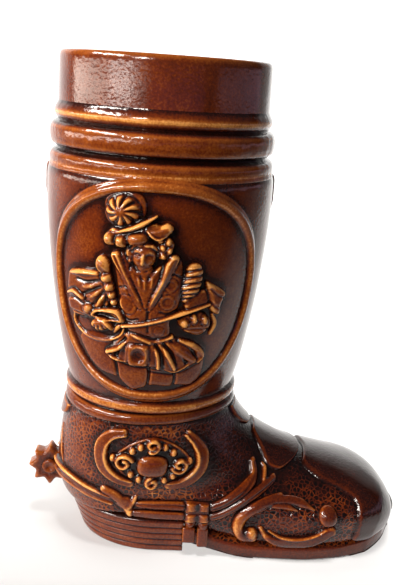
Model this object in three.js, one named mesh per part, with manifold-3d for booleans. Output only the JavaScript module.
// A glazed ceramic boot stein: a hollow boot that is drunk from at the cuff.
// It is made as a potter makes it: leg, foot and cuff are cast shells, the rings are
// coils over their seams, and the relief is pressed sprigs, all stuck on with slip.
// Millimetres, +Z up, the toe along +X, the boot's own right side along -Y.
import * as THREE from 'three';
import { mergeVertices } from 'three/addons/utils/BufferGeometryUtils.js';
import Module from 'manifold-3d';

// Driving dimensions of the shells
const totalHeight = 225;
const wall = 5;
const slipGap = 0.45;

const cuffHeight = 46;
const cuffStep = 4;
const rimTaper = 0.3;
const lipRadius = 1.8;

const legTopRadius = 50.6;
const legCalfRadius = 48.7;
const ankleRadius = 37.4;
const ankleHeight = 73;
const shoulderDrop = 3;

const heelHeight = 17;
const counterReach = 43.4;
const counterHalfWidth = 36.3;
const seatHalfWidth = 34;
const breastReach = 19;
const archLift = 7;
const soleThickness = 6;
const ballReach = 72;
const ballHalfWidth = 36;
const instepHeight = 47.7;
const vampHeight = 36;
const toeReach = 123.2;
const welt = 1;
const treadStart = 52;
const treadEnd = 100;
const toeSpring = 3.5;

const heelFloorReach = 31;
const heelTopReach = 37.5;
const heelFloorHalfWidth = 31;
const heelArcCentre = 6;
const heelLifts = 5;
const liftGroove = 0.5;

// Coils over the seams
const lowerCoilHeight = 4;
const lowerCoilRelief = 3;
const middleCoilHeight = 9;
const middleCoilRelief = 3.3;
const upperCoilHeight = 3;
const upperCoilRelief = 1.5;
const cuffCoilSpacing = 3.4;
const ankleCoilHeight = 4.1;
const ankleCoilRelief = 2;
const ankleCoilSpacing = 0.8;
const lowerCoilSpan = 0.042;

// Relief panels on the two sides of the leg
const panelRadius = 48;
const panelHalfArc = 48.8;
const panelTopMargin = 3.3;
const panelBottomMargin = 3.8;
const panelPower = 2.25;
const frameHalfWidth = 2.6;
const frameRelief = 1.7;
const drawnHalfHeight = 46.7;
const gussetDrops = [1.5, 8, 15];
const gussetHalfWidth = 2.4;
const gussetRelief = 1;
const sprigRoot = 1.2;

// Buckle, spur straps and scrolls on the two sides of the foot
const buckleX = 2.6;
const buckleHeight = 49;
const plateThickness = 1.1;
const strapRelief = 1.8;
const upperStrapHeight = 25.9;
const lowerStrapHeight = 21;
const upperStrapStart = -3;
const lowerStrapStart = -4.6;
const strapHalfWidth = 2;
const strandHalfWidth = 1.7;
const keeperX = 24.8;
const keeperHalfLength = 6.1;
const keeperHalfHeight = 5.4;
const strapJoint = 0.6;
const backSeamDrop = 18;
const backSeamLength = 18;

// Rowel of the spur
const rowelX = -47.5;
const rowelHeight = 28;
const rowelTipRadius = 11;
const rowelRootRadius = 7.4;
const rowelTeeth = 8;
const rowelThickness = 9;
const rowelHubRadius = 3.6;
const rowelHubHeight = 1.4;

// Flaps over the ridge of the foot
const flapThickness = 1.4;

// How finely round forms are cut into flats
const roundSegments = 32;
const footRingPoints = 28;
const footSections = 22;
const cavitySections = 7;
const heelArcSteps = 10;
const soleOutlineSteps = 14;
const soleStart = 0.5;
const soleEdgeAngle = 2.3;

const wasm = await Module();
wasm.setup();

const vector = (x, y, z) => new THREE.Vector3(x, y, z);
const { clamp, lerp } = THREE.MathUtils;

// A closed surface whose faces all point out, as one indexed geometry.
function facingOut(geometry) {
  const bare = geometry.clone();
  bare.deleteAttribute('normal');
  bare.deleteAttribute('uv');
  const merged = mergeVertices(bare, 1e-4);
  const position = merged.getAttribute('position');
  const index = Array.from(merged.index.array);
  const corner = [vector(), vector(), vector()];
  const kept = [];
  let volume = 0;
  for (let i = 0; i < index.length; i += 3) {
    const [a, b, c] = index.slice(i, i + 3);
    if (a === b || b === c || c === a) continue;
    kept.push(a, b, c);
    corner.forEach((point, k) => point.fromBufferAttribute(position, index[i + k]));
    volume += corner[0].dot(corner[1].cross(corner[2])) / 6;
  }
  if (volume < 0) kept.reverse();
  merged.setIndex(kept);
  return merged;
}

// A skin stretched over rings of points, with a point to close each end.
function loft(rings, firstEnd, lastEnd) {
  const count = rings[0].length;
  const points = rings.flat();
  const triangles = [];
  for (let i = 0; i + 1 < rings.length; i++) {
    for (let j = 0; j < count; j++) {
      const a = i * count + j;
      const b = i * count + ((j + 1) % count);
      triangles.push(a, b, b + count, a, b + count, a + count);
    }
  }
  const last = (rings.length - 1) * count;
  const ends = points.push(firstEnd, lastEnd);
  for (let j = 0; j < count; j++) {
    const k = (j + 1) % count;
    triangles.push(ends - 2, k, j, ends - 1, last + j, last + k);
  }
  const geometry = new THREE.BufferGeometry().setFromPoints(points);
  geometry.setIndex(triangles);
  return facingOut(geometry);
}

// The same skin over rings that come round to the first one again.
function hoop(rings) {
  const count = rings[0].length;
  const triangles = [];
  rings.forEach((ring, i) => {
    const here = i * count;
    const next = ((i + 1) % rings.length) * count;
    for (let j = 0; j < count; j++) {
      const k = (j + 1) % count;
      triangles.push(here + j, here + k, next + k, here + j, next + k, next + j);
    }
  });
  const geometry = new THREE.BufferGeometry().setFromPoints(rings.flat());
  geometry.setIndex(triangles);
  return facingOut(geometry);
}

// A profile of radius and height turned about the upright axis.
function revolve(profile) {
  const points = profile.map(([radius, height]) => new THREE.Vector2(radius, height));
  points.push(points[0].clone());
  const turned = new THREE.LatheGeometry(points, roundSegments);
  turned.rotateX(Math.PI / 2);
  return facingOut(turned);
}

// Joins and cuts of closed geometry
function solidOf(geometry) {
  const mesh = new wasm.Mesh({
    numProp: 3,
    vertProperties: new Float32Array(geometry.getAttribute('position').array),
    triVerts: new Uint32Array(geometry.index.array),
  });
  return new wasm.Manifold(mesh);
}

function geometryOf(solid) {
  const mesh = solid.getMesh();
  const geometry = new THREE.BufferGeometry();
  geometry.setAttribute('position', new THREE.BufferAttribute(new Float32Array(mesh.vertProperties), 3));
  geometry.setIndex(Array.from(mesh.triVerts));
  return facingOut(geometry);
}

const cut = (body, ...tools) =>
  geometryOf(tools.reduce((solid, tool) => solid.subtract(solidOf(tool)), solidOf(body)));
const join = (first, ...others) =>
  geometryOf(others.reduce((solid, other) => solid.add(solidOf(other)), solidOf(first)));
const common = (first, second) => geometryOf(solidOf(first).intersect(solidOf(second)));

// Sizes that several pieces share
const cuffFootRadius = legTopRadius - cuffStep;
const rimRadius = cuffFootRadius - rimTaper;
const legTop = totalHeight - cuffHeight - slipGap;
const legBottom = ankleHeight + slipGap;

// The leg's outer radius at a height, through ankle, calf and shoulder.
const legCurve = new THREE.SplineCurve([
  new THREE.Vector2(ankleRadius, legBottom),
  new THREE.Vector2(ankleRadius + 4.8, legBottom + 18.7),
  new THREE.Vector2(ankleRadius + 8.8, legBottom + 41.7),
  new THREE.Vector2(legCalfRadius, legBottom + 62.7),
  new THREE.Vector2(legTopRadius - 0.4, legTop - 24),
  new THREE.Vector2(legTopRadius, legTop - 9),
  new THREE.Vector2(legTopRadius - 0.3, legTop - shoulderDrop),
  new THREE.Vector2(legTopRadius - 2, legTop),
]);
const legProfile = legCurve.getSpacedPoints(8);

function legRadius(height) {
  const above = legProfile.findIndex((point) => point.y > height);
  if (above < 1) return above === 0 ? legProfile[0].x : legProfile.at(-1).x;
  const low = legProfile[above - 1];
  const high = legProfile[above];
  const share = (height - low.y) / (high.y - low.y);
  return lerp(low.x, high.x, share);
}

// The leg filled in and grown by a lift, to trim what rests against it.
function legBlank(lift) {
  const side = legProfile.map((point) => [point.x + lift, point.y]);
  return revolve([[0, legBottom], ...side, [0, legTop]]);
}

function makeLeg() {
  const outer = legProfile.map((point) => [point.x, point.y]);
  const inner = legProfile.filter((point, i) => i % 2 === 0)
    .map((point) => [point.x - wall, point.y])
    .reverse();
  return revolve([...outer, ...inner]);
}

function makeCuff() {
  const base = totalHeight - cuffHeight;
  const inner = rimRadius - wall;
  return revolve([
    [cuffFootRadius, base],
    [rimRadius, totalHeight - 1.4 * lipRadius],
    [rimRadius - 0.5 * lipRadius, totalHeight - 0.3 * lipRadius],
    [0.5 * (rimRadius + inner), totalHeight],
    [inner + 0.5 * lipRadius, totalHeight - 0.3 * lipRadius],
    [inner, totalHeight - 1.4 * lipRadius],
    [cuffFootRadius - wall, base],
  ]);
}

// The foot is a loft: each station has a point on the front and top of the boot, a point
// on its back and underside, a half width, and how square the section is at either end.
const toeSpan = toeReach - ankleRadius;
const underfoot = soleThickness + slipGap;
const seat = heelHeight + slipGap;
const front = (share, height) => vector(ankleRadius + share * toeSpan, 0, height);
const instep = (share, drop) => front(share, lerp(ankleHeight, instepHeight, drop));
const vamp = (share, drop) => front(share, lerp(instepHeight, vampHeight, drop));
const toe = (share, drop) => front(share, lerp(vampHeight, underfoot, drop));
const counter = (inset, drop) => vector(inset - counterReach, 0, lerp(ankleHeight, seat, drop));
const shank = (share, height) => vector(lerp(breastReach, ballReach, share), 0, height);
const tread = (share, lift) => vector(lerp(ballReach, toeReach, share), 0, underfoot + lift * toeSpring);
const stations = [
  [instep(0, 0), vector(-ankleRadius, 0, ankleHeight), ankleRadius, 2, 2],
  [instep(0.048, 0.336), counter(2.8, 0.189), ankleRadius + 0.2, 2, 2.05],
  [instep(0.118, 0.632), counter(1, 0.396), counterHalfWidth + 1, 2, 2.1],
  [instep(0.205, 0.85), counter(0, 0.63), counterHalfWidth, 2, 2.2],
  [instep(0.292, 1), counter(0.9, 0.846), counterHalfWidth - 1.1, 2, 2.3],
  [vamp(0.368, 0.23), counter(5.9, 1), seatHalfWidth, 2, 2.5],
  [vamp(0.45, 0.427), vector(0.185 * -counterReach, 0, seat), seatHalfWidth, 2, 5.5],
  [vamp(0.531, 0.607), shank(0.019, archLift + underfoot), seatHalfWidth, 2, 7],
  [vamp(0.624, 0.786), shank(0.547, 0.086 * archLift + underfoot), ballHalfWidth - 0.6, 2, 7],
  [vamp(0.718, 1), tread(0, 0), ballHalfWidth, 2.1, 7],
  [toe(0.811, 0.1), tread(0.39, 0), 0.933 * ballHalfWidth, 2.2, 6],
  [toe(0.898, 0.254), tread(0.684, 0.06), 0.772 * ballHalfWidth, 2.3, 5],
  [toe(0.962, 0.457), tread(0.879, 0.486), 0.517 * ballHalfWidth, 2.3, 3.2],
  [toe(1, 0.66), tread(0.988, 1.571), 0.208 * ballHalfWidth, 2.2, 2.4],
];
const frontCurve = new THREE.CatmullRomCurve3(stations.map((station) => station[0]));
const backCurve = new THREE.CatmullRomCurve3(stations.map((station) => station[1]));
const formCurve = new THREE.CatmullRomCurve3(
  stations.map(([, , halfWidth, frontPower, backPower]) => vector(halfWidth, frontPower, backPower)),
);
const sectionCentre = 0.45;

// A point of the foot's skin: t runs from ankle to toe, the angle from the top round to
// the underside, negative on the right side.
function footSkin(t, angle) {
  const top = frontCurve.getPoint(t);
  const under = backCurve.getPoint(t);
  const form = formCurve.getPoint(t);
  const centre = under.clone().lerp(top, sectionCentre);
  const forward = Math.cos(angle);
  const sideways = Math.sin(angle);
  const power = forward >= 0 ? form.y : form.z;
  const size = (Math.abs(forward) ** power + Math.abs(sideways) ** power) ** (-1 / power);
  const reach = forward >= 0 ? top.sub(centre) : centre.clone().sub(under);
  const point = centre.clone().addScaledVector(reach, size * forward);
  return point.setY(form.x * size * sideways);
}

function footNormal(t, angle) {
  const step = 0.004;
  const ahead = footSkin(Math.min(1, t + step), angle).sub(footSkin(Math.max(0, t - step), angle));
  const round = footSkin(t, angle + step).sub(footSkin(t, angle - step));
  return ahead.cross(round).normalize();
}

const footPoint = (t, angle, lift) => footSkin(t, angle).addScaledVector(footNormal(t, angle), lift);

const ringAngles = Array.from({ length: footRingPoints }, (_, i) => (2 * Math.PI * i) / footRingPoints);
const shares = (count, end = 1) => Array.from({ length: count + 1 }, (_, i) => (end * i) / count);

const footRings = (lift) =>
  shares(footSections).map((t) => ringAngles.map((angle) => footPoint(t, angle, lift)));
const toeTip = (lift) => footSkin(1, 0).lerp(footSkin(1, Math.PI), 0.5).add(vector(lift + 0.9, 0, 0));

// The cavity keeps the wall inside the profile curves and has softer corners.
const cavityEnd = 12 / 13;
function cavitySkin(t, angle) {
  const top = frontCurve.getPoint(t).addScaledVector(footNormal(t, 0), -wall);
  const under = backCurve.getPoint(t).addScaledVector(footNormal(t, Math.PI), -wall);
  const form = formCurve.getPoint(t);
  const centre = under.clone().lerp(top, sectionCentre);
  const forward = Math.cos(angle);
  const sideways = Math.sin(angle);
  const power = forward >= 0 ? 2 : Math.min(form.z, 2.6);
  const size = (Math.abs(forward) ** power + Math.abs(sideways) ** power) ** (-1 / power);
  const reach = forward >= 0 ? top.sub(centre) : centre.clone().sub(under);
  const point = centre.clone().addScaledVector(reach, size * forward);
  return point.setY((form.x - wall) * size * sideways);
}

function makeFoot() {
  const outer = footRings(0).reverse();
  const inner = shares(cavitySections, cavityEnd).map((t) => ringAngles.map((angle) => cavitySkin(t, angle)));
  const innerTip = cavitySkin(cavityEnd, 0).lerp(cavitySkin(cavityEnd, Math.PI), 0.5);
  inner[0].forEach((point) => point.setZ(ankleHeight));
  return loft([...outer, ...inner], toeTip(0), innerTip);
}

// The whole foot skin as a solid, grown by a lift, to cut what rests against it.
const footBlank = (lift) => loft(footRings(lift).reverse(), toeTip(lift), vector(0, 0, ankleHeight + 1));

const footCutter = footBlank(slipGap);
const trimToFoot = (geometry) => cut(geometry, footCutter);

// Heel of stacked lifts, tapering to the floor, hollowed on top to seat the foot.
function heelOutline(height, inset) {
  const share = height / heelHeight;
  const halfWidth = lerp(heelFloorHalfWidth, seatHalfWidth, share) - inset;
  const back = lerp(heelFloorReach, heelTopReach, share) - inset;
  const arc = shares(heelArcSteps).map((turn) => {
    const angle = Math.PI * (turn - 0.5);
    const x = heelArcCentre - (back + heelArcCentre) * Math.cos(angle);
    return vector(x, halfWidth * Math.sin(angle), height);
  });
  return [vector(breastReach, -halfWidth, height), ...arc, vector(breastReach, halfWidth, height)];
}

function makeHeel() {
  const lift = heelHeight / heelLifts;
  const rings = [];
  for (let i = 0; i < heelLifts; i++) {
    const floor = i * lift;
    const groove = i > 0 ? liftGroove : 0;
    rings.push(heelOutline(floor + groove / 2, 0), heelOutline(floor + lift - liftGroove / 2, 0));
    if (i + 1 < heelLifts) rings.push(heelOutline(floor + lift, liftGroove));
  }
  const top = heelHeight - liftGroove / 2;
  return trimToFoot(loft(rings, vector(0, 0, 0), vector(0, 0, top)));
}

// Outsole: the foot's own outline grown by the welt, between the floor line and the foot.
function soleOutline(welt) {
  const right = shares(soleOutlineSteps).map((share) => {
    const t = lerp(soleStart, 1, share);
    const point = footPoint(t, -soleEdgeAngle, welt);
    return new THREE.Vector2(point.x, point.y);
  });
  const left = right.map((point) => new THREE.Vector2(point.x, -point.y)).reverse();
  return new THREE.Shape([...right, ...left]);
}

function soleBlank(welt) {
  const height = 3 * heelHeight;
  const slab = new THREE.ExtrudeGeometry(soleOutline(welt), { depth: height, bevelEnabled: false });
  slab.translate(0, 0, -heelHeight);
  return facingOut(slab);
}

function makeSole() {
  const heelEnd = breastReach + slipGap;
  const floorLine = new THREE.SplineCurve([
    new THREE.Vector2(heelEnd, archLift),
    new THREE.Vector2(heelEnd + 0.35 * (treadStart - heelEnd), 0.56 * archLift),
    new THREE.Vector2(heelEnd + 0.75 * (treadStart - heelEnd), 0.1 * archLift),
    new THREE.Vector2(treadStart, 0),
  ]).getPoints(8);
  const springLine = new THREE.QuadraticBezierCurve(
    new THREE.Vector2(treadEnd, 0),
    new THREE.Vector2(0.5 * (treadEnd + toeReach), 0),
    new THREE.Vector2(toeReach + 3, toeSpring),
  ).getPoints(5);
  const under = [...floorLine, ...springLine];
  const over = under.map((point) => new THREE.Vector2(point.x, point.y + soleThickness)).reverse();
  const band = new THREE.ExtrudeGeometry(new THREE.Shape([...under, ...over]), {
    depth: 4 * ballHalfWidth,
    bevelEnabled: false,
  });
  band.rotateX(Math.PI / 2);
  band.translate(0, 2 * ballHalfWidth, 0);
  return trimToFoot(common(soleBlank(welt), facingOut(band)));
}

// Coils over the seams
function coil(insideLow, insideHigh, outside, low, high) {
  const rounding = 0.3 * (high - low);
  const shoulder = outside - 0.6 * Math.min(rounding, outside - insideLow);
  return revolve([
    [insideLow, low],
    [shoulder, low],
    [outside, low + rounding],
    [outside, high - rounding],
    [insideHigh, high],
  ]);
}

function cuffCoil(low, height, relief) {
  const inside = cuffFootRadius + slipGap;
  return coil(inside, inside, cuffFootRadius + relief, low, low + height);
}

function upperAnkleCoil() {
  const low = legBottom + ankleCoilSpacing;
  const high = low + ankleCoilHeight;
  return coil(
    legRadius(low) + slipGap,
    legRadius(high) + slipGap,
    legRadius(high) + ankleCoilRelief,
    low,
    high,
  );
}

function lowerAnkleCoil() {
  const rows = [
    [0.1, 0],
    [0.1, 0.7],
    [0.32, 1],
    [0.72, 1],
    [1, 0.6],
    [1, 0],
  ];
  const rings = ringAngles.map((angle) =>
    rows.map(([down, up]) =>
      footPoint(down * lowerCoilSpan, angle, slipGap + up * (ankleCoilRelief - slipGap)),
    ),
  );
  return hoop(rings);
}

// Sprigs are drawn flat, in millimetres along and up the wall, and laid on it by a
// function that takes both and a height above the skin.
const onLeg = (along, height, lift) => {
  const angle = along / panelRadius;
  const radius = legRadius(height) + lift;
  return vector(radius * Math.sin(angle), -radius * Math.cos(angle), height);
};

const footSamples = shares(52).flatMap((t) =>
  shares(40).map((turn) => ({ t, angle: -Math.PI * turn, point: footSkin(t, -Math.PI * turn) })),
);

// The skin point that a view shows at two given sizes, from the nearest sample.
function settle(view, along, height) {
  const miss = (point) => {
    const [seenAlong, seenHeight] = view(point);
    return [seenAlong - along, seenHeight - height];
  };
  let best = footSamples[0];
  let least = Infinity;
  for (const sample of footSamples) {
    const distance = Math.hypot(...miss(sample.point));
    if (distance < least) {
      least = distance;
      best = sample;
    }
  }
  let { t, angle } = best;
  const step = 1e-3;
  for (let i = 0; i < 8; i++) {
    const here = miss(footSkin(t, angle));
    const onward = miss(footSkin(t + step, angle));
    const round = miss(footSkin(t, angle + step));
    const a = (onward[0] - here[0]) / step;
    const b = (round[0] - here[0]) / step;
    const c = (onward[1] - here[1]) / step;
    const d = (round[1] - here[1]) / step;
    const determinant = a * d - b * c;
    if (Math.abs(determinant) < 1) break;
    t = clamp(t - (d * here[0] - b * here[1]) / determinant, 0, 1);
    angle -= (a * here[1] - c * here[0]) / determinant;
  }
  return { t, angle };
}

const onFootSide = (along, height, lift) => {
  const { t, angle } = settle((point) => [point.x, point.z], along, height);
  return footPoint(t, angle, lift);
};

const aroundHeel = (along, height, lift) => {
  const view = (point) => [counterReach * Math.atan2(point.x, -point.y), point.z];
  const { t, angle } = settle(view, along, height);
  return footPoint(t, angle, lift);
};

const middleOf = (points) => {
  const sum = points.reduce((total, point) => total.add(point), vector(0, 0, 0));
  return sum.divideScalar(points.length);
};

// A rounded cord along a flat path.
const cordSection = [[-1, 0], [1, 0], [0.72, 0.78], [0, 1], [-0.72, 0.78]];
const even = () => 1;
const pointed = (share) => 0.3 + 0.7 * Math.sin(Math.PI * share) ** 0.6;
const thinning = (share) => 1 - 0.6 * share;

function cord(place, path, { halfWidth, height, steps, base = 0, swell = even, closed = false }) {
  const curve = new THREE.CatmullRomCurve3(path.map(([a, b]) => vector(a, b, 0)), closed);
  const rings = shares(steps).map((share) => {
    const at = curve.getPoint(share);
    const along = curve.getTangent(share);
    const side = vector(-along.y, along.x, 0);
    const size = swell(share);
    return cordSection.map(([across, up]) => {
      const flat = at.clone().addScaledVector(side, across * halfWidth * size);
      return place(flat.x, flat.y, slipGap + base + up * height * size);
    });
  });
  if (closed) return hoop(rings.slice(0, -1));
  return loft(rings, middleOf(rings[0]), middleOf(rings.at(-1)));
}

// A pad with a domed top over a flat outline.
function pad(place, outline, { height, base = 0, rim = 0.55, bands = 1 }) {
  const middle = middleOf(outline.map(([a, b]) => vector(a, b, 0)));
  const ring = (size, lift) => outline.map(([a, b]) => {
    const flat = vector(a, b, 0).sub(middle).multiplyScalar(size).add(middle);
    return place(flat.x, flat.y, slipGap + base + lift);
  });
  const sizes = shares(bands).slice(1);
  const dome = (size) => height * (rim + (1 - rim) * (1 - size ** 2));
  const under = sizes.map((size) => ring(size, 0));
  const over = sizes.map((size) => ring(size, dome(size))).reverse();
  const low = place(middle.x, middle.y, slipGap + base);
  const high = place(middle.x, middle.y, slipGap + base + height);
  return loft([...under, ...over], low, high);
}

function oval(x, y, halfLength, halfHeight, count, power = 2) {
  return Array.from({ length: count }, (_, i) => {
    const angle = (2 * Math.PI * i) / count;
    const forward = Math.cos(angle);
    const upward = Math.sin(angle);
    const size = (Math.abs(forward) ** power + Math.abs(upward) ** power) ** (-1 / power);
    return [x + halfLength * size * forward, y + halfHeight * size * upward];
  });
}

// A smooth closed outline through a few points.
function rounded(points, count) {
  const curve = new THREE.CatmullRomCurve3(points.map(([a, b]) => vector(a, b, 0)), true);
  return curve.getPoints(count).slice(0, -1).map((point) => [point.x, point.y]);
}

// A flap over the foot about a middle angle, thinner at its edge.
function flapRings(rows, middleAngle, columns, under) {
  const across = shares(columns).map((share) => 2 * share - 1);
  return rows.map(([t, halfAngle]) => {
    const over = across.map((side) => {
      const lift = slipGap + flapThickness * (1 - 0.5 * side ** 8);
      return footPoint(t, middleAngle + side * halfAngle, lift);
    });
    const back = across.map((side) => footPoint(t, middleAngle + side * halfAngle, under)).reverse();
    return [...over, ...back];
  });
}

const closedFlap = (rings) => loft(rings, middleOf(rings[0]), middleOf(rings.at(-1)));
// A flap on the hollow of the instep is rooted under the skin and trimmed to it.
const rootedFlap = (rows, middleAngle) =>
  trimToFoot(closedFlap(flapRings(rows, middleAngle, 6, -sprigRoot)));

// Panel: an oval frame round a seated lute player, drawn about the panel's middle.
const ankleCoilTop = legBottom + ankleCoilSpacing + ankleCoilHeight;
const panelTop = legTop - panelTopMargin;
const panelBottom = ankleCoilTop + panelBottomMargin;
const panelCentre = 0.5 * (panelTop + panelBottom);
const panelHalfHeight = 0.5 * (panelTop - panelBottom);
const panelUnit = panelHalfHeight / drawnHalfHeight;
const onPanel = (along, up, lift) => onLeg(along * panelUnit, panelCentre + up * panelUnit, lift);

function makeFrame() {
  const path = oval(0, panelCentre, panelHalfArc, panelHalfHeight, 28, panelPower);
  return cord(onLeg, path, { halfWidth: frameHalfWidth, height: frameRelief, steps: 42, closed: true });
}

function makeLutePlayer() {
  const body = (points, count, height) =>
    pad(onPanel, rounded(points, count), { base: -sprigRoot, height: height + sprigRoot, rim: 0.75 });
  const round = (x, y, halfLength, halfHeight, count, height, base = -sprigRoot) =>
    pad(onPanel, oval(x, y, halfLength, halfHeight, count), { base, height: height - base, rim: 0.6 });
  const line = (path, halfWidth, height, steps, base = -sprigRoot) =>
    cord(onPanel, path, { base, halfWidth, height: height - base, steps });
  const overlay = 1;
  const torso = body(
    [[-17.5, 15], [-4, 19], [8.5, 17], [12.5, 7], [10.5, -8], [9, -18], [-11, -18], [-13.5, -4]], 8, 2.8);
  const hat = [
    body([[-19, 26], [-14, 33], [-4, 37], [5, 35], [7, 30], [-6, 25]], 6, 3.4),
    line([[-20.5, 26.8], [-16, 22.8], [-9.5, 23.6], [-3.5, 27], [2, 30.4], [7.5, 31.4]], 2.9, 5, 4),
    round(-13.2, 36.6, 6.2, 5.9, 7, 4.4),
  ];
  const head = round(-4.2, 19.4, 5.1, 7, 8, 4.6);
  const lapels = [
    line([[-16.4, 14.6], [-11.5, 6.5], [-5.8, -5.6]], 1.7, 4, 2, overlay),
    line([[7.4, 16], [3, 6], [-1.5, -6]], 1.7, 4, 2, overlay),
  ];
  const rightArm = [
    line([[-21, 13.6], [-19.4, 6], [-16.6, -2.4]], 2.7, 4.2, 3),
    body([[-37, 9.2], [-24, 9.6], [-20.5, 3], [-20, -3.4], [-28, -4.8], [-37.6, -1.4]], 6, 3),
    line([[-37.4, -1], [-34, -7.4], [-27.5, -12.6]], 3.3, 3.4, 3),
    round(-24.6, -13.6, 4.2, 2.9, 6, 4.6, overlay),
  ];
  const leftArm = [
    body([[17.6, 16], [19, 8], [15.4, -0.6], [11, 0.4], [11.4, 8], [13.4, 15]], 6, 4.4),
    body([[10.5, 1], [17, 1], [23.5, -3], [20.5, -9], [9, -10]], 6, 2.7),
    round(15, -13.6, 6, 4.4, 6, 3.2),
  ];
  const lute = [
    round(-25.6, -14.6, 13.4, 7.2, 10, 2.4),
    line([[-14.5, -12.8], [4, -7.4], [23, 0.2]], 1.4, 4.6, 3, overlay),
    body([[21, -4], [22.2, 6], [29.6, 6.6], [28.6, -5]], 5, 3.6),
  ];
  const skirtEdge = [[-12, -16.5], [9.5, -16], [24.4, -24], [22, -30.4], [8, -34.6], [-6, -33], [-20, -27]];
  const pleats = [
    [[-11, -19.5], [-16.6, -26]],
    [[0.6, -21], [3.6, -32]],
    [[7.6, -19.4], [15.6, -29.6]],
  ];
  const skirt = [
    body(skirtEdge, 9, 2.8),
    round(-5.8, -25, 4.8, 5.2, 6, 4.2, overlay),
    ...pleats.map((path) => line(path, 1.5, 3.9, 1, overlay)),
  ];
  const breeches = [
    round(-19.6, -29.6, 5.4, 7, 6, 2),
    round(-8, -36.4, 6.6, 5.4, 7, 2.2),
    round(4.8, -36, 5.4, 5, 6, 2),
    round(18, -35.8, 6.4, 4.8, 7, 2.2),
  ];
  const upperBody = [...hat, head, ...lapels, ...rightArm, ...leftArm];
  const joined = join(torso, ...upperBody, ...lute, ...skirt, ...breeches);
  return cut(joined, legBlank(slipGap));
}

function makeGussetBar(side) {
  const along = side * 0.5 * Math.PI * panelRadius;
  const path = gussetDrops.map((drop) => [along, panelTop - drop]);
  return cord(onLeg, path, { halfWidth: gussetHalfWidth, height: gussetRelief, steps: 3, swell: thinning });
}

// Buckle: a plate with beads and curls, an oval stone, and a horn at either end.
const onBuckle = (along, up, lift) => onFootSide(buckleX + along, buckleHeight + up, lift);
const beads = [
  [-15, 1], [-8.6, 4.8], [-5.4, 7], [6.4, 7], [9.6, 4.6], [15, 0.6],
  [-9.4, -6.4], [-5.2, -8.8], [5.8, -8.8], [9.4, -6.6],
];
const curls = [[0.1, 8.4], [-12.3, -1.4], [12.5, -1], [0.5, -9.6]];

function makeBucklePlate() {
  const outline = oval(0, 0.3, 17.4, 12, 10, 1.5);
  const plate = pad(onBuckle, outline, { height: plateThickness, rim: 1, bands: 2 });
  const fused = { base: 0.5 * plateThickness };
  const knob = (x, y, radius, count) =>
    pad(onBuckle, oval(x, y, radius, radius, count), { ...fused, height: 2, rim: 0.4 });
  const small = beads.map(([x, y]) => knob(x, y, 1.5, 5));
  const large = curls.map(([x, y]) => knob(x, y, 2.5, 6));
  return join(plate, ...small, ...large);
}

const makeStone = () =>
  pad(onBuckle, oval(0.3, -2, 7.4, 5.4, 12, 2.6), {
    base: plateThickness + slipGap,
    height: 2.6,
    rim: 0.45,
    bands: 2,
  });

const rearHornPath = [[-13, 11.6], [-18.6, 8.4], [-22.4, 2.4], [-21.6, -6.4], [-15.6, -11.2], [-7.8, -12.6]];
const frontHornPath = [[16.6, 12.6], [21, 7.4], [23.2, -0.2], [21, -6.6], [15.8, -11], [7.9, -12.2]];
const makeHorn = (path) => cord(onBuckle, path, { halfWidth: 2.8, height: 2.4, steps: 9, swell: pointed });

// Spur: a band round the heel to a forked stud, straps to a keeper under the arch, and
// two strands that climb to the leather over the instep.
function makeSpurBand() {
  const path = [[-61.4, 32.6], [-51.5, 33.2], [-41.5, 32.4], [-30.4, 29.8], [-18.8, 27.2]];
  return cord(aroundHeel, path, { halfWidth: 2.5, height: 2.2, steps: 9 });
}

function makeBackSeam() {
  const top = ankleHeight - backSeamDrop;
  const path = [[-56, top], [-53, top - 0.5 * backSeamLength], [-50, top - backSeamLength]];
  return cord(aroundHeel, path, { halfWidth: 0.8, height: 0.8, steps: 4 });
}

function makeStud() {
  const rearProng = [[-15.4, 33.4], [-11, 29.2], [-7.4, 24.2]];
  const frontProng = [[-4.2, 30], [-5.8, 26.4], [-7.6, 22.6]];
  return join(
    cord(onFootSide, rearProng, { halfWidth: 2, height: 3, steps: 3 }),
    cord(onFootSide, frontProng, { halfWidth: 1.4, height: 3.2, steps: 2 }),
  );
}

function makeStrap(start, height) {
  const end = keeperX - keeperHalfLength - strapJoint;
  const path = [[start, height], [0.5 * (start + end), height], [end, height]];
  return trimToFoot(cord(onFootSide, path, { halfWidth: strapHalfWidth, height: strapRelief, steps: 5 }));
}

const keeperHeight = 0.5 * (upperStrapHeight + lowerStrapHeight);

function makeKeeper() {
  const place = (along, up, lift) => onFootSide(keeperX + along, keeperHeight + up, lift);
  const corners = [[-1, -1], [1, -1], [1, 1], [-1, 1]];
  const block = (x, y, halfLength, halfHeight, options) => {
    const outline = corners.map(([a, b]) => [x + a * halfLength, y + b * halfHeight]);
    return pad(place, outline, options);
  };
  const plate = block(0, 0, keeperHalfLength, keeperHalfHeight, { height: 1.6, rim: 1, bands: 2 });
  const blocks = [-1, 1].flatMap((side) =>
    [-1, 1].map((level) => {
      const x = 0.5 * side * keeperHalfLength;
      const y = 0.5 * level * keeperHalfHeight;
      return block(x, y, 0.4 * keeperHalfLength, 0.4 * keeperHalfHeight, { base: 1, height: 1.8, rim: 0.7 });
    }),
  );
  const straps = [-1, 1].map((side) => {
    const outer = place(0.5 * side * keeperHalfLength, -0.7 * keeperHalfHeight, 2);
    const low = archLift + 0.5;
    const bar = new THREE.BoxGeometry(0.8 * keeperHalfLength, 6, outer.z - low);
    bar.translate(outer.x, outer.y + 3, 0.5 * (outer.z + low));
    return facingOut(bar);
  });
  return cut(join(plate, ...blocks, ...straps), footCutter, soleBlank(welt + slipGap));
}

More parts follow.
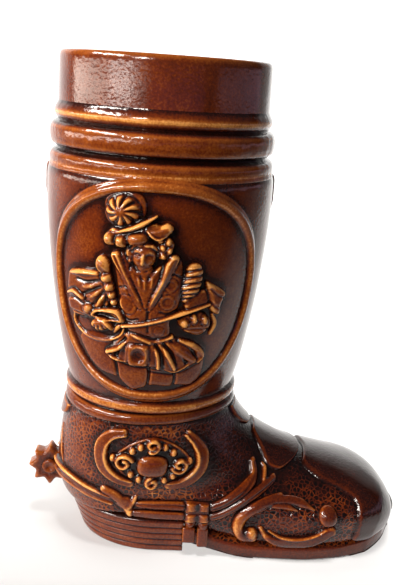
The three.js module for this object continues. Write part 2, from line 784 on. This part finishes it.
const strandStart = keeperX + keeperHalfLength + strapJoint;
const strandPath = (height, climb) => [[strandStart, height], [strandStart + 2.5, height + 0.3], ...climb];
const upperStrandPath = strandPath(upperStrapHeight, [[40, 29.8], [47, 34.4], [51, 39.6], [51, 44.4]]);
const lowerStrandPath = strandPath(lowerStrapHeight, [[41, 24.4], [48.4, 30], [54.4, 34.6], [59.6, 37.4]]);
const makeStrand = (path) =>
  cord(onFootSide, path, { halfWidth: strandHalfWidth, height: strapRelief, steps: 10 });

// Scrolls on the vamp
const scrollSwell = (share) => (share < 0.35 ? 0.7 + share * 0.85 : 1 - 0.95 * (share - 0.35));
const upperScrollPath = [
  [51, 11.8], [47.4, 14], [45.6, 19.4], [49.4, 25], [56, 28.4], [64, 30], [72, 29.2], [79, 26.4],
];
const upperTinePath = [[61, 28.8], [67, 27.6], [71.6, 25]];
const lowerScrollPath = [[55.6, 16], [59.5, 12.4], [66, 10.8], [74, 11], [82, 13.4], [87, 17.2]];

function makeUpperScroll() {
  const stemForm = { halfWidth: 2.6, height: 3, steps: 13, swell: scrollSwell };
  const stem = cord(onFootSide, upperScrollPath, stemForm);
  const tine = cord(onFootSide, upperTinePath, { halfWidth: 1.5, height: 2, steps: 3, swell: thinning });
  const volute = pad(onFootSide, oval(53.4, 13.4, 2.7, 2.5, 9), { height: 3.4, rim: 0.4 });
  return join(stem, tine, volute);
}

const makeLowerScroll = () =>
  trimToFoot(cord(onFootSide, lowerScrollPath, { halfWidth: 2, height: 2.2, steps: 9, swell: pointed }));
const makeScrollBall = () =>
  pad(onFootSide, oval(87.6, 23.8, 4.2, 4, 10), { height: 3, rim: 0.4, bands: 2 });

// Flaps over the ridge of the foot: rows of station and half angle from rear to front.
const frontTongueRows = [[0.05, 0.33], [0.09, 0.34], [0.125, 0.31], [0.155, 0.22], [0.17, 0.1]];
const rearTongueRows = [[0.05, 0.46], [0.075, 0.43], [0.095, 0.3], [0.106, 0.12]];
const leatherRows = [
  [0.186, 0.12], [0.2, 0.26], [0.237, 0.37], [0.317, 0.55], [0.39, 0.67], [0.435, 0.7], [0.45, 0.5],
];
const toeCapRows = [
  [0.472, 0.2], [0.5, 0.46], [0.585, 0.645], [0.662, 0.737], [0.725, 0.865], [0.765, 1.29],
  [0.787, 1.82], [0.8, 2.2], [0.87, 2.38], [0.94, 2.4], [1, 2.4],
];

function makeToeCap() {
  const rings = flapRings(toeCapRows, 0, 8, -sprigRoot);
  const count = rings[0].length;
  const nose = rings.at(-1).map((point, i) => {
    const lift = i < count / 2 ? slipGap + flapThickness : -sprigRoot;
    return point.clone().lerp(toeTip(lift), 0.8);
  });
  return trimToFoot(closedFlap([...rings, nose]));
}

// Rowel: a star wheel half sunk in the back of the heel, with a hub on either face.
function makeRowel() {
  const star = new THREE.Shape();
  for (let i = 0; i < 2 * rowelTeeth; i++) {
    const radius = i % 2 === 0 ? rowelTipRadius : rowelRootRadius;
    const angle = (Math.PI * i) / rowelTeeth;
    const point = [radius * Math.cos(angle), radius * Math.sin(angle)];
    if (i === 0) star.moveTo(...point);
    else star.lineTo(...point);
  }
  const bevel = 0.8;
  const wheel = new THREE.ExtrudeGeometry(star, {
    depth: rowelThickness - 2 * bevel,
    bevelThickness: bevel,
    bevelSize: bevel,
    bevelOffset: -bevel,
    bevelSegments: 1,
  });
  wheel.rotateX(Math.PI / 2);
  wheel.translate(rowelX, 0.5 * rowelThickness - bevel, rowelHeight);
  return trimToFoot(facingOut(wheel));
}

function makeRowelHub() {
  const profile = [[0, 0], [1, 0], [0.9, 1], [0.5, 1], [0, 0.4]].map(
    ([radius, height]) => new THREE.Vector2(radius * rowelHubRadius, height * rowelHubHeight),
  );
  const hub = new THREE.LatheGeometry(profile, 10);
  hub.rotateX(Math.PI);
  hub.translate(rowelX, -0.5 * rowelThickness - slipGap, rowelHeight);
  return facingOut(hub);
}

const glaze = (colour) => new THREE.MeshStandardMaterial({ color: colour, roughness: 0.14, metalness: 0 });
const bodyGlaze = glaze(0x5e2813);
const honeyGlaze = glaze(0xa8622a);
const darkGlaze = glaze(0x41190c);

const boot = new THREE.Group();
const rightSide = new THREE.Group();
const leftSide = new THREE.Group();
const leftPanel = new THREE.Group();
leftSide.scale.y = -1;
leftPanel.rotation.z = Math.PI;
boot.add(rightSide, leftSide, leftPanel);

function add(name, geometry, material, group = boot) {
  const mesh = new THREE.Mesh(geometry, material);
  mesh.name = name;
  group.add(mesh);
}

const cuffBase = totalHeight - cuffHeight;
const middleCoilLow = cuffBase + lowerCoilHeight + cuffCoilSpacing;
const upperCoilLow = middleCoilLow + middleCoilHeight + cuffCoilSpacing;

add('leg', makeLeg(), bodyGlaze);
add('cuff', makeCuff(), bodyGlaze);
add('foot', makeFoot(), bodyGlaze);
add('heel_stack', makeHeel(), bodyGlaze);
add('outsole', makeSole(), bodyGlaze);
add('cuff_ring_lower', cuffCoil(cuffBase, lowerCoilHeight, lowerCoilRelief), honeyGlaze);
add('cuff_ring_middle', cuffCoil(middleCoilLow, middleCoilHeight, middleCoilRelief), honeyGlaze);
add('cuff_ring_upper', cuffCoil(upperCoilLow, upperCoilHeight, upperCoilRelief), honeyGlaze);
add('ankle_ring_upper', upperAnkleCoil(), honeyGlaze);
add('ankle_ring_lower', lowerAnkleCoil(), honeyGlaze);
add('front_gusset_bar', makeGussetBar(1), bodyGlaze);
add('rear_gusset_bar', makeGussetBar(-1), bodyGlaze);
add('front_tongue', rootedFlap(frontTongueRows, 0), bodyGlaze);
add('rear_tongue', rootedFlap(rearTongueRows, Math.PI), bodyGlaze);
add('spur_leather', rootedFlap(leatherRows, 0), bodyGlaze);
add('toe_cap', makeToeCap(), bodyGlaze);
add('rowel', makeRowel(), honeyGlaze);

const frame = makeFrame();
const lutePlayer = makeLutePlayer();
add('right_panel_frame', frame, honeyGlaze, rightSide);
add('left_panel_frame', frame, honeyGlaze, leftPanel);
add('right_lute_player', lutePlayer, honeyGlaze, rightSide);
add('left_lute_player', lutePlayer, honeyGlaze, leftPanel);

const footSprigs = [
  ['rowel_hub', makeRowelHub(), honeyGlaze],
  ['buckle_plate', makeBucklePlate(), darkGlaze],
  ['buckle_stone', makeStone(), bodyGlaze],
  ['buckle_rear_horn', makeHorn(rearHornPath), honeyGlaze],
  ['buckle_front_horn', makeHorn(frontHornPath), honeyGlaze],
  ['back_seam', makeBackSeam(), honeyGlaze],
  ['spur_band', makeSpurBand(), bodyGlaze],
  ['spur_stud', makeStud(), bodyGlaze],
  ['upper_strap', makeStrap(upperStrapStart, upperStrapHeight), bodyGlaze],
  ['lower_strap', makeStrap(lowerStrapStart, lowerStrapHeight), bodyGlaze],
  ['strap_keeper', makeKeeper(), bodyGlaze],
  ['upper_strand', makeStrand(upperStrandPath), bodyGlaze],
  ['lower_strand', makeStrand(lowerStrandPath), bodyGlaze],
  ['upper_scroll', makeUpperScroll(), honeyGlaze],
  ['lower_scroll', makeLowerScroll(), honeyGlaze],
  ['scroll_ball', makeScrollBall(), honeyGlaze],
];
for (const [name, geometry, material] of footSprigs) {
  add(`right_${name}`, geometry, material, rightSide);
  add(`left_${name}`, geometry, material, leftSide);
}

const middle = new THREE.Box3().setFromObject(boot).getCenter(vector());
boot.position.set(-middle.x, -middle.y, 0);

export default new THREE.Group().add(boot);
